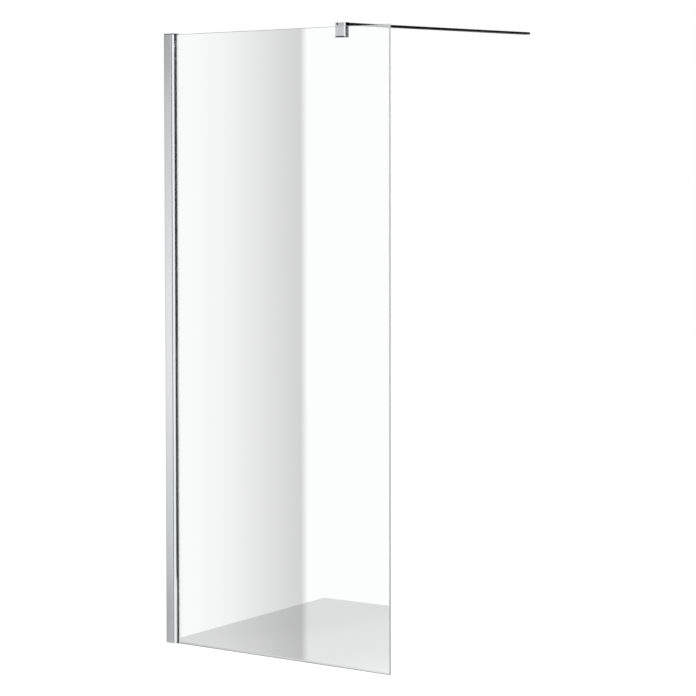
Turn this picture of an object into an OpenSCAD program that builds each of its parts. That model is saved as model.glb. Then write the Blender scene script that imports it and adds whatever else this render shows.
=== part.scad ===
// Walk-in shower screen: one fixed pane in a two-part wall profile, with a support bar to the second wall.
// Origin: on the floor, at the wall's surface, in the middle of the glass. +X runs along the glass away
// from the wall, +Y runs into the shower along the support bar, and +Z is up. All sizes are in millimetres.

/* [Screen] */
// Overall width, from the wall to the free edge of the glass
screen_w = 1000; // [700:10:1200]
// Height of the glass
screen_h = 2000; // [1800:10:2200]
// Thickness of the glass
glass_t = 8; // [6:1:10]
// Bevel ground along the edges of the glass
arris = 1; // [0.4:0.1:1.5]

/* [Wall channel] */
// How far the wall channel stands out from the wall
channel_depth = 34; // [32:1:40]
// Wall thickness of the channel's two flanges
channel_wall = 1.7; // [1.4:0.1:1.9]
// Thickness of the channel's web, which is screwed to the wall
web_t = 2.2; // [1.8:0.1:2.4]
// Diameter of the holes for the wall screws
wall_hole_d = 5; // [4:0.5:6]

/* [Glazing profile] */
// How far the glazing profile shows past the channel
nose_depth = 11; // [8:1:15]
// Travel of the glazing profile, which takes up a wall that is out of true
adjust_travel = 12; // [6:1:12]
// How much the nose curves in towards its end
nose_crown = 1.2; // [0.6:0.1:2]
// Thickness of the glazing gaskets
gasket_t = 2.5; // [2:0.1:3]

/* [Glass clamp] */
// Middle of the clamp, from the wall
clamp_x = 797; // [300:1:900]
// Width of the clamp along the glass
clamp_w = 44; // [34:1:60]
// Height of the clamp
clamp_h = 46; // [40:1:60]
// Thickness of the clamp's front jaw
front_jaw = 6; // [5:0.5:8]
// Thickness of the clamp's rear jaw, which holds the grub screws
rear_jaw = 3.5; // [3:0.5:6]
// Bevel on the clamp's upright front edges
clamp_bevel = 3.6; // [1:0.2:4]

/* [Support bar] */
// Width of the flat bar
bar_w = 25; // [20:1:28]
// Height of the flat bar
bar_h = 8; // [8:0.5:12]
// Wall thickness of the bar
bar_wall = 1.3; // [1:0.1:1.4]
// How far the front end of the bar stands back from the face of the clamp
bar_recess = 3; // [0:0.5:4]
// Distance from the middle of the glass to the second wall
bar_reach = 880; // [500:10:1200]
// Travel of the wall spigot out of the bar
spigot_travel = 10; // [5:1:12]

/* [Hidden] */
round_fn = 48;
slide_gap = 0.3;
// How far a cut runs past the surface that it opens, and how far two shapes of one piece overlap
over = 1;
fuse = 0.1;

// Colours
chrome_colour = [0.80, 0.81, 0.83];
steel_colour = [0.62, 0.63, 0.65];
dark_plastic_colour = [0.23, 0.24, 0.25];
gasket_colour = [0.16, 0.17, 0.17];
liner_colour = [0.80, 0.84, 0.83];
glass_colour = [0.84, 0.93, 0.90, 0.35];

// Glazing profile: the pocket, its hollow side chambers and the arms behind it
glass_half = glass_t / 2;
pocket_half = glass_half + gasket_t;
inner_wall = 1.4;
outer_wall = 2;
chamber_t = 2.1;
chamber_in = pocket_half + inner_wall;
chamber_out = chamber_in + chamber_t;
nose_half = chamber_out + outer_wall;
arm_wall = 1.6;
nose_end = channel_depth + nose_depth;
pocket_web_x = 24;
pocket_web_t = 1.6;
arm_gap = 1;
arm_start = web_t + arm_gap;
chamber_from_web = 3;
chamber_start = pocket_web_x + chamber_from_web;
chamber_end = nose_end - arm_wall;
nose_flat = 1;
nose_run = nose_depth - nose_flat;
nose_r = (nose_run * nose_run + nose_crown * nose_crown) / (2 * nose_crown);

// Wall channel: its flanges clear the glazing profile by the sliding gap
channel_half = nose_half + slide_gap + channel_wall;
channel_edge_r = 1.2;
channel_top = screen_h + slide_gap;
rib_in = 4.5;
rib_t = 1;
rib_h = 3;
wall_hole_margin = 100;
wall_hole_pitch = (screen_h - 2 * wall_hole_margin) / 3;
cap_t = 3;
cap_top = channel_top + cap_t;

// Adjusting screws: each passes through the channel's rear flange and a slot in the glazing profile
adjust_margin = 250;
adjust_z = [adjust_margin, screen_h / 2, screen_h - adjust_margin];
adjust_from_web = 4.5;
adjust_x = pocket_web_x - adjust_from_web;
m4_r = 1.95;
m4_thread_r = 2;
m4_hole_r = 2.1;
slot_half = 2.3;
nut_w = 7;
nut_t = 2.2;
pan_head_r = 3.8;
pan_top_r = 2.9;
pan_head_h = 2.2;
pan_edge_h = 1.2;
cover_r = 5.5;
cover_h = 3.4;
cover_wall = 0.8;
cover_edge_r = 1.2;

// Glazing gaskets: a flat strip with a barb that hooks into the chamber
gasket_l = 10;
barb_back = 5.8;
gasket_x = nose_end - gasket_l;
barb_x = nose_end - barb_back;
barb_slot = 2;
barb_stem = 1.6;
barb_head = 3.2;
barb_depth = 1.7;
lip = 0.8;
lip_t = 0.5;
lead_in = 1;

// Glass pads between the pocket's web and the hidden edge of the glass
pad_t = 2.4;
pad_l = 60;
pad_margin = 200;
glass_x = pocket_web_x + pocket_web_t + pad_t;

// Glass clamp: an upside-down U over the top edge of the glass
liner_t = 1.2;
liner_top_t = 1;
bridge_t = 2.2;
liner_half = glass_half + slide_gap + liner_t;
plate_t = 1.2;
slot_back = liner_half + plate_t + slide_gap;
clamp_front = -liner_half - front_jaw;
clamp_back = slot_back + rear_jaw;
slot_top = screen_h + slide_gap + liner_top_t;
bar_z = slot_top + bridge_t;
clamp_top = bar_z + bar_h;
clamp_bottom = clamp_top - clamp_h;
clamp_foot_bevel = 0.65 * front_jaw;
clamp_back_bevel = 1;
grub_from_side = 9;
grub_x = clamp_w / 2 - grub_from_side;
grub_from_foot = 16;
grub_z = clamp_bottom + grub_from_foot;
m5_r = 2.45;
m5_hole_r = 2.5;

// Support bar, its end plug and the spigot at the second wall
bar_edge_r = 1;
bar_front = clamp_front + bar_recess;
bar_mid_z = bar_z + bar_h / 2;
bar_in_w = bar_w - 2 * bar_wall;
bar_in_h = bar_h - 2 * bar_wall;
notch_gap = 0.1;
plug_head = 1.5;
plug_l = 22;
bar_screw_x = 6;
bar_screw_y = (slot_back - liner_half) / 2;
bar_screw_l = 8;
sink_r = 4;
sink_d = 1.9;
sink_head_r = 3.85;
spigot_l = 60;
spigot_w = bar_in_w - 2 * slide_gap;
spigot_h = bar_in_h - 2 * slide_gap;
spigot_bore_r = 1.65;
spigot_bore_l = 18;
bar_grub_back = 25;
bar_grub_y = bar_reach - bar_grub_back;
keyway_half = m4_r + 1.5 * slide_gap;
keyway_d = 0.8;

// Shared shapes

// A rectangle from lo to hi with four round corners
module rounded_rect(lo, hi, r) {
  translate([lo.x, lo.y + r]) square([hi.x - lo.x, hi.y - lo.y - 2 * r]);
  translate([lo.x + r, lo.y]) square([hi.x - lo.x - 2 * r, hi.y - lo.y]);
  for (x = [lo.x + r, hi.x - r], y = [lo.y + r, hi.y - r])
    translate([x, y]) circle(r = r, $fn = round_fn);
}

// A box from lo to hi
module box(lo, hi) {
  translate(lo) cube(hi - lo);
}

// A rod along +Y from y = 0
module rod_y(r, l) {
  rotate([-90, 0, 0]) cylinder(r = r, h = l, $fn = round_fn);
}

// A prism along Y with a round-cornered section in X and Z, about the middle of the bar
module bar_prism(w, h, r, y0, y1) {
  translate([clamp_x, y1, bar_mid_z])
    rotate([90, 0, 0])
      linear_extrude(y1 - y0) rounded_rect([-w / 2, -h / 2], [w / 2, h / 2], r);
}

// A grub screw along +Z from z = 0, with its hexagon socket at the bottom
module grub_screw(r, l, socket_af, socket_d) {
  tip = 0.6;
  difference() {
    union() {
      cylinder(r = r, h = l - tip, $fn = round_fn);
      translate([0, 0, l - tip]) cylinder(r1 = r, r2 = r - tip, h = tip, $fn = round_fn);
    }
    translate([0, 0, -over])
      cylinder(d = socket_af / cos(30), h = socket_d + over, $fn = 6);
  }
}

// Wall channel, fixed to the wall

module channel_section() {
  difference() {
    union() {
      translate([0, -channel_half]) square([channel_depth / 2, 2 * channel_half]);
      rounded_rect([0, -channel_half], [channel_depth, channel_half], channel_edge_r);
    }
    translate([web_t, -channel_half + channel_wall])
      square([channel_depth, 2 * (channel_half - channel_wall)]);
  }
  // Two ribs along the web make a track for the heads of the wall screws
  for (y = [-rib_in - rib_t, rib_in])
    translate([web_t - fuse, y]) square([rib_h + fuse, rib_t]);
}

module wall_channel() {
  color(chrome_colour) difference() {
    linear_extrude(channel_top) channel_section();
    for (i = [0:3])
      translate([-over, 0, wall_hole_margin + i * wall_hole_pitch])
        rotate([0, 90, 0]) cylinder(d = wall_hole_d, h = web_t + 2 * over, $fn = round_fn);
    for (z = adjust_z)
      translate([adjust_x, nose_half, z]) rod_y(m4_hole_r, channel_half);
  }
}

// Plastic cap over the channel: a lid with a tongue that fits between the ribs
module wall_channel_cap() {
  tongue_l = 10;
  tongue_d = 6;
  tongue_wall = 1.4;
  color(dark_plastic_colour) {
    difference() {
      translate([0, 0, channel_top]) linear_extrude(cap_t) union() {
        translate([0, -channel_half]) square([channel_depth / 2, 2 * channel_half]);
        rounded_rect([0, -channel_half], [channel_depth, channel_half], channel_edge_r);
      }
      for (side = [-1, 1])
        translate([0, side * channel_half, cap_top]) edge_round_x(channel_depth, 1, side);
    }
    difference() {
      box([web_t, -rib_in, channel_top - tongue_l], [web_t + tongue_d, rib_in, channel_top + fuse]);
      box([web_t + tongue_wall, -rib_in + tongue_wall, channel_top - tongue_l - over],
          [web_t + tongue_d - tongue_wall, rib_in - tongue_wall, channel_top]);
    }
  }
}

// Takes the sharp corner off an edge that runs along +X, at y on the given side and z at the top
module edge_round_x(l, r, side) {
  translate([-over, 0, 0]) mirror([0, side > 0 ? 0 : 1, 0]) difference() {
    translate([0, -r, -r]) cube([l + 2 * over, 2 * r, 2 * r]);
    translate([-over, -r, -r]) rotate([0, 90, 0]) cylinder(r = r, h = l + 4 * over, $fn = round_fn);
  }
}

// Pan-head screws that lock the glazing profile, with a cross recess
module adjusting_screws() {
  past_nut = 0.6;
  shank_l = channel_half - (nose_half - arm_wall - slide_gap - nut_t) + past_nut;
  recess_w = 1;
  recess_l = 4.4;
  recess_d = 1.4;
  color(steel_colour) for (z = adjust_z)
    translate([adjust_x, channel_half, z]) difference() {
      union() {
        translate([0, -shank_l, 0]) rod_y(m4_r, shank_l + fuse);
        rotate([-90, 0, 0]) {
          cylinder(r = pan_head_r, h = pan_edge_h, $fn = round_fn);
          translate([0, 0, pan_edge_h])
            cylinder(r1 = pan_head_r, r2 = pan_top_r, h = pan_head_h - pan_edge_h, $fn = round_fn);
        }
      }
      for (turn = [0, 90])
        translate([0, pan_head_h, 0]) rotate([0, turn, 0])
          cube([recess_l, 2 * recess_d, recess_w], center = true);
    }
}

// Square nuts inside the channel, behind the glazing profile's rear arm
module clamping_nuts() {
  nut_y = nose_half - arm_wall - slide_gap - nut_t;
  color(steel_colour) for (z = adjust_z)
    translate([adjust_x, nut_y, z]) difference() {
      translate([-nut_w / 2, 0, -nut_w / 2]) cube([nut_w, nut_t, nut_w]);
      translate([0, -over, 0]) rod_y(m4_thread_r, nut_t + 2 * over);
    }
}

// Round covers that snap over the screw heads
module screw_cover_caps() {
  color(chrome_colour) for (z = adjust_z)
    translate([adjust_x, channel_half, z]) rotate([-90, 0, 0])
      rotate_extrude($fn = round_fn) difference() {
        union() {
          square([cover_r, cover_h - cover_edge_r]);
          translate([0, cover_h - cover_edge_r - fuse])
            square([cover_r - cover_edge_r, cover_edge_r + fuse]);
          translate([cover_r - cover_edge_r, cover_h - cover_edge_r])
            circle(r = cover_edge_r, $fn = round_fn);
        }
        translate([-3, -over]) square([3, cover_h + 2 * over]);
        translate([0, -over]) square([cover_r - cover_wall, cover_h - cover_wall + over]);
      }
}

// Glazing profile, which slides in the channel and holds the glass

// Outline of the nose: flat where it slides, and gently curved in towards its end
module nose_outline(x0) {
  translate([x0, -nose_half]) square([nose_end - nose_run - x0, 2 * nose_half]);
  intersection() {
    translate([nose_end - nose_run - fuse, -nose_half]) square([nose_run + fuse, 2 * nose_half]);
    crowned_sides();
  }
}

// The room between the two large arcs that curve the nose in
module crowned_sides() {
  intersection() {
    translate([nose_end - nose_run, nose_r - nose_half]) circle(r = nose_r, $fn = 4 * round_fn);
    translate([nose_end - nose_run, nose_half - nose_r]) circle(r = nose_r, $fn = 4 * round_fn);
  }
}

module glazing_section() {
  difference() {
    union() {
      nose_outline(pocket_web_x);
      for (y = [-nose_half, nose_half - arm_wall])
        translate([arm_start, y]) square([pocket_web_x - arm_start + fuse, arm_wall]);
    }
    translate([pocket_web_x + pocket_web_t, -pocket_half])
      square([nose_end, 2 * pocket_half]);
    for (side = [0, 1]) mirror([0, side]) {
      translate([chamber_start, chamber_in])
        square([chamber_end - chamber_start, chamber_out - chamber_in]);
      translate([barb_x - barb_slot / 2, pocket_half - over])
        square([barb_slot, over + inner_wall + fuse]);
    }
  }
}

module glazing_profile() {
  color(chrome_colour) difference() {
    linear_extrude(screen_h) glazing_section();
    for (z = adjust_z) {
      for (x = [adjust_x - adjust_travel, adjust_x])
        translate([x, nose_half - arm_wall - over, z]) rod_y(slot_half, arm_wall + 2 * over);
      box([adjust_x - adjust_travel, nose_half - arm_wall - over, z - slot_half],
          [adjust_x, nose_half + over, z + slot_half]);
    }
  }
}

// Plastic cap over the nose, with legs that plug into the two chambers
module glazing_profile_cap() {
  leg_l = 10;
  leg_w = 2;
  leg_gap = 0.15;
  leg_t = chamber_t - 2 * leg_gap;
  end_r = 2.4;
  color(dark_plastic_colour) {
    difference() {
      translate([0, 0, screen_h]) linear_extrude(cap_top - screen_h)
        nose_outline(channel_depth + slide_gap);
      translate([nose_end, 0, cap_top]) rotate([90, 0, 0]) difference() {
        translate([-end_r, -end_r, -channel_half]) cube([2 * end_r, 2 * end_r, 2 * channel_half]);
        translate([-end_r, -end_r, -channel_half - over])
          cylinder(r = end_r, h = 2 * (channel_half + over), $fn = round_fn);
      }
    }
    for (side = [0, 1], x = [channel_depth + 2 * slide_gap, chamber_end - leg_w - leg_gap])
      mirror([0, side]) box(
        [x, chamber_in + leg_gap, screen_h - leg_l],
        [x + leg_w, chamber_in + leg_gap + leg_t, screen_h + fuse]);
  }
}

// Section of a gasket on the +Y side: the strip, its wiping lip and the barb in the chamber
module gasket_section() {
  polygon([
    [gasket_x, pocket_half],
    [gasket_x + lead_in, glass_half],
    [nose_end + lip, glass_half],
    [nose_end + lip, glass_half + lip_t],
    [nose_end, pocket_half]
  ]);
  translate([barb_x - barb_stem / 2, pocket_half - fuse])
    square([barb_stem, inner_wall + 2 * fuse]);
  polygon([
    [barb_x - barb_head / 2, chamber_in],
    [barb_x + barb_head / 2, chamber_in],
    [barb_x + barb_stem / 2, chamber_in + barb_depth],
    [barb_x - barb_stem / 2, chamber_in + barb_depth]
  ]);
}

module front_gasket() {
  color(gasket_colour) linear_extrude(screen_h) mirror([0, 1]) gasket_section();
}

// The same section in clear plastic, because this one shows through the glass
module rear_gasket() {
  color(liner_colour) linear_extrude(screen_h) gasket_section();
}

module glass_edge_pads() {
  color(gasket_colour) for (z = [pad_margin, screen_h / 2, screen_h - pad_margin])
    box([pocket_web_x + pocket_web_t, -glass_half, z - pad_l / 2],
        [glass_x, glass_half, z + pad_l / 2]);
}

// Section of the pane across its thickness, with the arris on all four corners
module arris_section(lo, hi) {
  polygon([
    [lo + arris, -glass_half], [hi - arris, -glass_half],
    [hi, -glass_half + arris], [hi, glass_half - arris],
    [hi - arris, glass_half], [lo + arris, glass_half],
    [lo, glass_half - arris], [lo, -glass_half + arris]
  ]);
}

module glass_panel() {
  color(glass_colour) intersection() {
    linear_extrude(screen_h) arris_section(glass_x, screen_w);
    translate([glass_x, 0, 0]) rotate([90, 0, 90])
      linear_extrude(screen_w - glass_x) rotate([0, 0, 90]) arris_section(0, screen_h);
  }
}

// Glass clamp, which sits over the top edge of the glass

module clamp_body() {
  x0 = clamp_x - clamp_w / 2;
  x1 = clamp_x + clamp_w / 2;
  color(chrome_colour) difference() {
    translate([0, 0, clamp_bottom]) linear_extrude(clamp_h) polygon([
      [x0 + clamp_bevel, clamp_front], [x1 - clamp_bevel, clamp_front],
      [x1, clamp_front + clamp_bevel], [x1, clamp_back - clamp_back_bevel],
      [x1 - clamp_back_bevel, clamp_back], [x0 + clamp_back_bevel, clamp_back],
      [x0, clamp_back - clamp_back_bevel], [x0, clamp_front + clamp_bevel]
    ]);
    // Slot for the glass
    box([x0 - over, -liner_half, clamp_bottom - over], [x1 + over, slot_back, slot_top]);
    // Notch for the bar, open at the top
    box([clamp_x - bar_w / 2 - notch_gap, clamp_front - over, bar_z],
        [clamp_x + bar_w / 2 + notch_gap, clamp_back + over, clamp_top + over]);
    // Bevel along the foot of the front jaw
    translate([clamp_x, clamp_front, clamp_bottom]) rotate([45, 0, 0])
      cube([clamp_w + 2 * over, clamp_foot_bevel * sqrt(2), clamp_foot_bevel * sqrt(2)], center = true);
    // Threads for the two grub screws in the rear jaw
    for (side = [-1, 1])
      translate([clamp_x + side * grub_x, slot_back - over, grub_z]) rod_y(m5_hole_r, rear_jaw + 2 * over);
    // Countersunk holes for the screws that hold the bar
    for (side = [-1, 1]) translate([clamp_x + side * bar_screw_x, bar_screw_y, slot_top]) {
      translate([0, 0, -over]) cylinder(r = m4_hole_r, h = bar_z - slot_top + 2 * over, $fn = round_fn);
      cylinder(r1 = sink_r, r2 = m4_hole_r, h = sink_d, $fn = round_fn);
    }
  }
}

// Clear liner between the clamp and both faces of the glass
module clamp_liner() {
  inset = 0.6;
  foot_rise = 2;
  x0 = clamp_x - clamp_w / 2 + inset;
  x1 = clamp_x + clamp_w / 2 - inset;
  foot = clamp_bottom + foot_rise;
  color(liner_colour) difference() {
    box([x0, -liner_half, foot], [x1, liner_half, slot_top]);
    box([x0 - over, -liner_half + liner_t, foot - over],
        [x1 + over, liner_half - liner_t, screen_h + slide_gap]);
  }
}

// Steel plate that spreads the load of the grub screws
module clamp_pressure_plate() {
  inset = 2;
  margin = 4;
  color(steel_colour) box(
    [clamp_x - clamp_w / 2 + inset, liner_half, clamp_bottom + margin],
    [clamp_x + clamp_w / 2 - inset, liner_half + plate_t, screen_h - margin]);
}

module clamp_grub_screws() {
  tip_y = liner_half + plate_t;
  set_in = 0.2;
  head_y = clamp_back - set_in;
  color(steel_colour) for (side = [-1, 1])
    translate([clamp_x + side * grub_x, head_y, grub_z]) rotate([90, 0, 0])
      grub_screw(m5_r, head_y - tip_y, socket_af = 2.5, socket_d = 2);
}

// Support bar

module support_bar() {
  color(chrome_colour) difference() {
    bar_prism(bar_w, bar_h, bar_edge_r, bar_front + plug_head, bar_reach);
    translate([clamp_x - bar_in_w / 2, bar_front, bar_mid_z - bar_in_h / 2])
      cube([bar_in_w, bar_reach - bar_front + over, bar_in_h]);
    for (side = [-1, 1]) translate([clamp_x + side * bar_screw_x, bar_screw_y, bar_z - over])
      cylinder(r = m4_hole_r, h = bar_wall + 2 * over, $fn = round_fn);
    translate([clamp_x, bar_grub_y, bar_z - over])
      cylinder(r = m4_thread_r, h = bar_wall + 2 * over, $fn = round_fn);
  }
}

// Plug that closes the front end of the bar and takes the fixing screws
module bar_end_plug() {
  fit = 0.05;
  shoulder = 0.5;
  floor_t = 0.8;
  thread_l = bar_wall + bar_in_h - floor_t;
  color(chrome_colour) difference() {
    union() {
      bar_prism(bar_w, bar_h, bar_edge_r, bar_front, bar_front + plug_head);
      translate([clamp_x - bar_in_w / 2 + fit, bar_front + shoulder, bar_mid_z - bar_in_h / 2 + fit])
        cube([bar_in_w - 2 * fit, plug_l - shoulder, bar_in_h - 2 * fit]);
    }
    for (side = [-1, 1]) translate([clamp_x + side * bar_screw_x, bar_screw_y, bar_z])
      cylinder(r = m4_thread_r, h = thread_l, $fn = round_fn);
  }
}

// Countersunk screws from under the clamp's bridge up into the plug
module bar_fixing_screws() {
  socket_af = 2.5;
  socket_d = 1.4;
  color(steel_colour) for (side = [-1, 1])
    translate([clamp_x + side * bar_screw_x, bar_screw_y, slot_top]) difference() {
      union() {
        cylinder(r = m4_r, h = bar_screw_l, $fn = round_fn);
        cylinder(r1 = sink_head_r, r2 = m4_r, h = sink_d, $fn = round_fn);
      }
      translate([0, 0, -over]) cylinder(d = socket_af / cos(30), h = over + socket_d, $fn = 6);
    }
}

// Grub screw under the bar, whose tip runs in the spigot's keyway
module bar_grub_screw() {
  stand_out = 1.2;
  color(steel_colour) translate([clamp_x, bar_grub_y, bar_z - stand_out])
    grub_screw(m4_r, stand_out + bar_wall + keyway_d, socket_af = 2, socket_d = 1.6);
}

// Spigot that is fixed to the second wall, and over which the bar slides
module wall_spigot() {
  color(steel_colour) difference() {
    translate([clamp_x - spigot_w / 2, bar_reach - spigot_l, bar_mid_z - spigot_h / 2])
      cube([spigot_w, spigot_l, spigot_h]);
    // Threaded hole for the stud in the wall
    translate([clamp_x, bar_reach - spigot_bore_l, bar_mid_z]) rod_y(spigot_bore_r, spigot_bore_l + over);
    // Keyway that keeps the spigot from pulling out past its travel
    box([clamp_x - keyway_half, bar_grub_y - spigot_travel - keyway_half, bar_mid_z - spigot_h],
        [clamp_x + keyway_half, bar_grub_y + keyway_half, bar_mid_z - spigot_h / 2 + keyway_d]);
  }
}

wall_channel();
wall_channel_cap();
adjusting_screws();
clamping_nuts();
screw_cover_caps();
glazing_profile();
glazing_profile_cap();
front_gasket();
rear_gasket();
glass_edge_pads();
glass_panel();
clamp_body();
clamp_liner();
clamp_pressure_plate();
clamp_grub_screws();
support_bar();
bar_end_plug();
bar_fixing_screws();
bar_grub_screw();
wall_spigot();
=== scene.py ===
import math

import bmesh
import bpy
from mathutils import Matrix, Vector


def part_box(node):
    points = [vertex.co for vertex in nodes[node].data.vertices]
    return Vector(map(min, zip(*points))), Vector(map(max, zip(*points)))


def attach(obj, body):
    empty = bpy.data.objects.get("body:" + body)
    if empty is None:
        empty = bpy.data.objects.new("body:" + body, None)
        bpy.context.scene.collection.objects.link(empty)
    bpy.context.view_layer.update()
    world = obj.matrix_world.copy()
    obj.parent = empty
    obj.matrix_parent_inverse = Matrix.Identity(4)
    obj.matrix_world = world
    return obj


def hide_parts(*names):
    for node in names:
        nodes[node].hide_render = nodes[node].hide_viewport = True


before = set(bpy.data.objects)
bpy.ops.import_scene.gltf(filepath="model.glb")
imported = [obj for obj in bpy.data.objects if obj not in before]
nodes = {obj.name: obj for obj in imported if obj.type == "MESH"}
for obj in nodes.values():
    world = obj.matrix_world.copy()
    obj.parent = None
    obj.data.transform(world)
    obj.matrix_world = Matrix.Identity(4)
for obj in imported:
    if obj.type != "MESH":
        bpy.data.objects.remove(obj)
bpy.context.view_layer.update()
scene = bpy.context.scene
mm = 0.001
print("frame loaded:", len(nodes), "nodes")


# Small helpers for meshes

foldAngle = 32  # in degrees: a sharper fold is an edge
softAngle = 50  # the same for a piece whose edges are already rounded off


def linkMesh(name, mesh):
    piece = bpy.data.objects.new(name, mesh)
    scene.collection.objects.link(piece)
    return piece


def pieceFrom(bm, name):
    # turns a finished bmesh into an object
    mesh = bpy.data.meshes.new(name)
    bm.to_mesh(mesh)
    bm.free()
    return linkMesh(name, mesh)


def boxOf(node):
    low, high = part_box(node)
    return Vector(low), Vector(high)


def centreOf(node):
    low, high = boxOf(node)
    return (low + high) / 2


def bakeModifiers(piece):
    # the evaluated mesh takes the place of the mesh and its modifiers
    graph = bpy.context.evaluated_depsgraph_get()
    graph.update()
    mesh = bpy.data.meshes.new_from_object(piece.evaluated_get(graph), depsgraph=graph)
    mesh.name = piece.name
    piece.modifiers.clear()
    piece.data = mesh
    return piece


def shadeByAngle(piece, degrees=foldAngle):
    # smooth round stretches, while large flat faces keep their own normal
    piece.data.polygons.foreach_set("use_smooth", [True] * len(piece.data.polygons))
    piece.data.set_sharp_from_angle(angle=math.radians(degrees))
    even = piece.modifiers.new("evenShading", "WEIGHTED_NORMAL")
    even.mode = "FACE_AREA"
    even.keep_sharp = True
    return bakeModifiers(piece)


def softenEdges(piece, width, steps=2):
    bevel = piece.modifiers.new("softEdges", "BEVEL")
    bevel.width = width
    bevel.segments = steps
    bevel.limit_method = "ANGLE"
    bevel.angle_limit = math.radians(foldAngle)
    bevel.use_clamp_overlap = True
    bakeModifiers(piece)
    return shadeByAngle(piece, softAngle)


def cutAway(piece, cutters):
    for cutter in cutters:
        cut = piece.modifiers.new("cut", "BOOLEAN")
        cut.operation = "DIFFERENCE"
        cut.solver = "EXACT"
        cut.object = cutter
    bakeModifiers(piece)
    for cutter in cutters:
        bpy.data.objects.remove(cutter)
    return piece


def filletOutline(corners, steps=6):
    # corners are (u, v, radius); each round corner becomes an arc
    points = []
    for index, (u, v, radius) in enumerate(corners):
        here = Vector((u, v))
        if radius == 0:
            points.append(here)
            continue
        back = (Vector(corners[index - 1][:2]) - here).normalized()
        ahead = (Vector(corners[(index + 1) % len(corners)][:2]) - here).normalized()
        half = back.angle(ahead) / 2
        middle = here + (back + ahead).normalized() * radius / math.sin(half)
        start = here + back * radius / math.tan(half) - middle
        end = here + ahead * radius / math.tan(half) - middle
        turn = math.atan2(start.x * end.y - start.y * end.x, start.dot(end))
        for step in range(steps + 1):
            points.append(middle + Matrix.Rotation(turn * step / steps, 2) @ start)
    return points


def extrudeOutlines(name, outlines, low, high, place):
    # outlines are closed loops, the outer one first; place(u, v, w) puts a section point in the frame
    bm = bmesh.new()
    ends = ([], [])
    for outline in outlines:
        rings = [[bm.verts.new(place(p[0], p[1], w)) for p in outline] for w in (low, high)]
        count = len(outline)
        for index in range(count):
            after = (index + 1) % count
            bm.faces.new((rings[0][index], rings[0][after], rings[1][after], rings[1][index]))
        for ring, edges in zip(rings, ends):
            edges += [bm.edges.get((ring[index], ring[(index + 1) % count])) for index in range(count)]
    for edges in ends:
        bmesh.ops.triangle_fill(bm, edges=edges, use_beauty=True)
    bmesh.ops.recalc_face_normals(bm, faces=bm.faces)
    return pieceFrom(bm, name)


def lathe(name, profile, steps=48):
    # turns a profile of (radius, height) about Z; both ends stand on the axis
    bm = bmesh.new()
    rings = []
    for radius, height in profile:
        if radius == 0:
            rings.append([bm.verts.new((0, 0, height))] * steps)
            continue
        angles = [2 * math.pi * step / steps for step in range(steps)]
        rings.append([bm.verts.new((radius * math.cos(t), radius * math.sin(t), height)) for t in angles])
    for low, high in zip(rings, rings[1:]):
        for step in range(steps):
            after = (step + 1) % steps
            corners = list(dict.fromkeys((low[step], low[after], high[after], high[step])))
            bm.faces.new(corners)
    bmesh.ops.recalc_face_normals(bm, faces=bm.faces)
    return pieceFrom(bm, name)


def pin(radius, start, end, sides=48):
    # a straight round cutter between two points
    start, end = Vector(start), Vector(end)
    bm = bmesh.new()
    bmesh.ops.create_cone(bm, cap_ends=True, segments=sides, radius1=radius, radius2=radius,
                          depth=(end - start).length)
    turn = (end - start).to_track_quat("Z", "Y").to_matrix().to_4x4()
    bm.transform(Matrix.Translation((start + end) / 2) @ turn)
    return pieceFrom(bm, "cutter")


def boxMesh(low, high):
    low, high = Vector(low), Vector(high)
    bm = bmesh.new()
    bmesh.ops.create_cube(bm, size=1)
    bm.transform(Matrix.Translation((low + high) / 2) @ Matrix.Diagonal(high - low).to_4x4())
    return bm


def block(low, high):
    return pieceFrom(boxMesh(low, high), "block")


def mergedCopy(node, near=0.002 * mm, flat=0.5):
    # a CAD mesh is loose triangles, so its copy is joined up and its flat faces made whole
    bm = bmesh.new()
    bm.from_mesh(nodes[node].data)
    bmesh.ops.remove_doubles(bm, verts=bm.verts, dist=near)
    bmesh.ops.dissolve_limit(bm, angle_limit=math.radians(flat), verts=bm.verts, edges=bm.edges)
    return pieceFrom(bm, node + "_fine")


def finishPiece(piece, node, body, slot, *materials):
    # the faces keep their material numbers when the list is written anew
    faces = piece.data.polygons
    numbers = [min(face.material_index, len(materials) - 1) for face in faces]
    piece.data.materials.clear()
    for material in materials:
        piece.data.materials.append(material)
    faces.foreach_set("material_index", numbers)
    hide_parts(node)
    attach(piece, body)


def softCopy(node, body, slot, material, edge, steps=2):
    # the CAD piece with its edges rounded off
    finishPiece(softenEdges(mergedCopy(node), edge, steps), node, body, slot, material)


# Node helpers and the groups that several finishes share

def addNode(tree, kind, inputs=None, **settings):
    node = tree.nodes.new(kind)
    for key, value in settings.items():
        setattr(node, key, value)
    for key, value in (inputs or {}).items():
        if isinstance(value, bpy.types.NodeSocket):
            tree.links.new(value, node.inputs[key])
        else:
            node.inputs[key].default_value = value
    return node


def maths(tree, operation, *values):
    return addNode(tree, "ShaderNodeMath", dict(enumerate(values)), operation=operation).outputs[0]


def mixColours(tree, share, first, second):
    return addNode(tree, "ShaderNodeMix", {"Factor": share, 6: first, 7: second}, data_type="RGBA").outputs[2]


def mixShaders(tree, share, first, second):
    return addNode(tree, "ShaderNodeMixShader", {0: share, 1: first, 2: second}).outputs[0]


def newGroup(name, kind, inputs, outputs):
    tree = bpy.data.node_groups.new(name, kind)
    for label, socket, value in inputs:
        made = tree.interface.new_socket(label, in_out="INPUT", socket_type=socket)
        if value is not None:
            made.default_value = value
    for label, socket in outputs:
        tree.interface.new_socket(label, in_out="OUTPUT", socket_type=socket)
    return tree, tree.nodes.new("NodeGroupInput"), tree.nodes.new("NodeGroupOutput")


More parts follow.
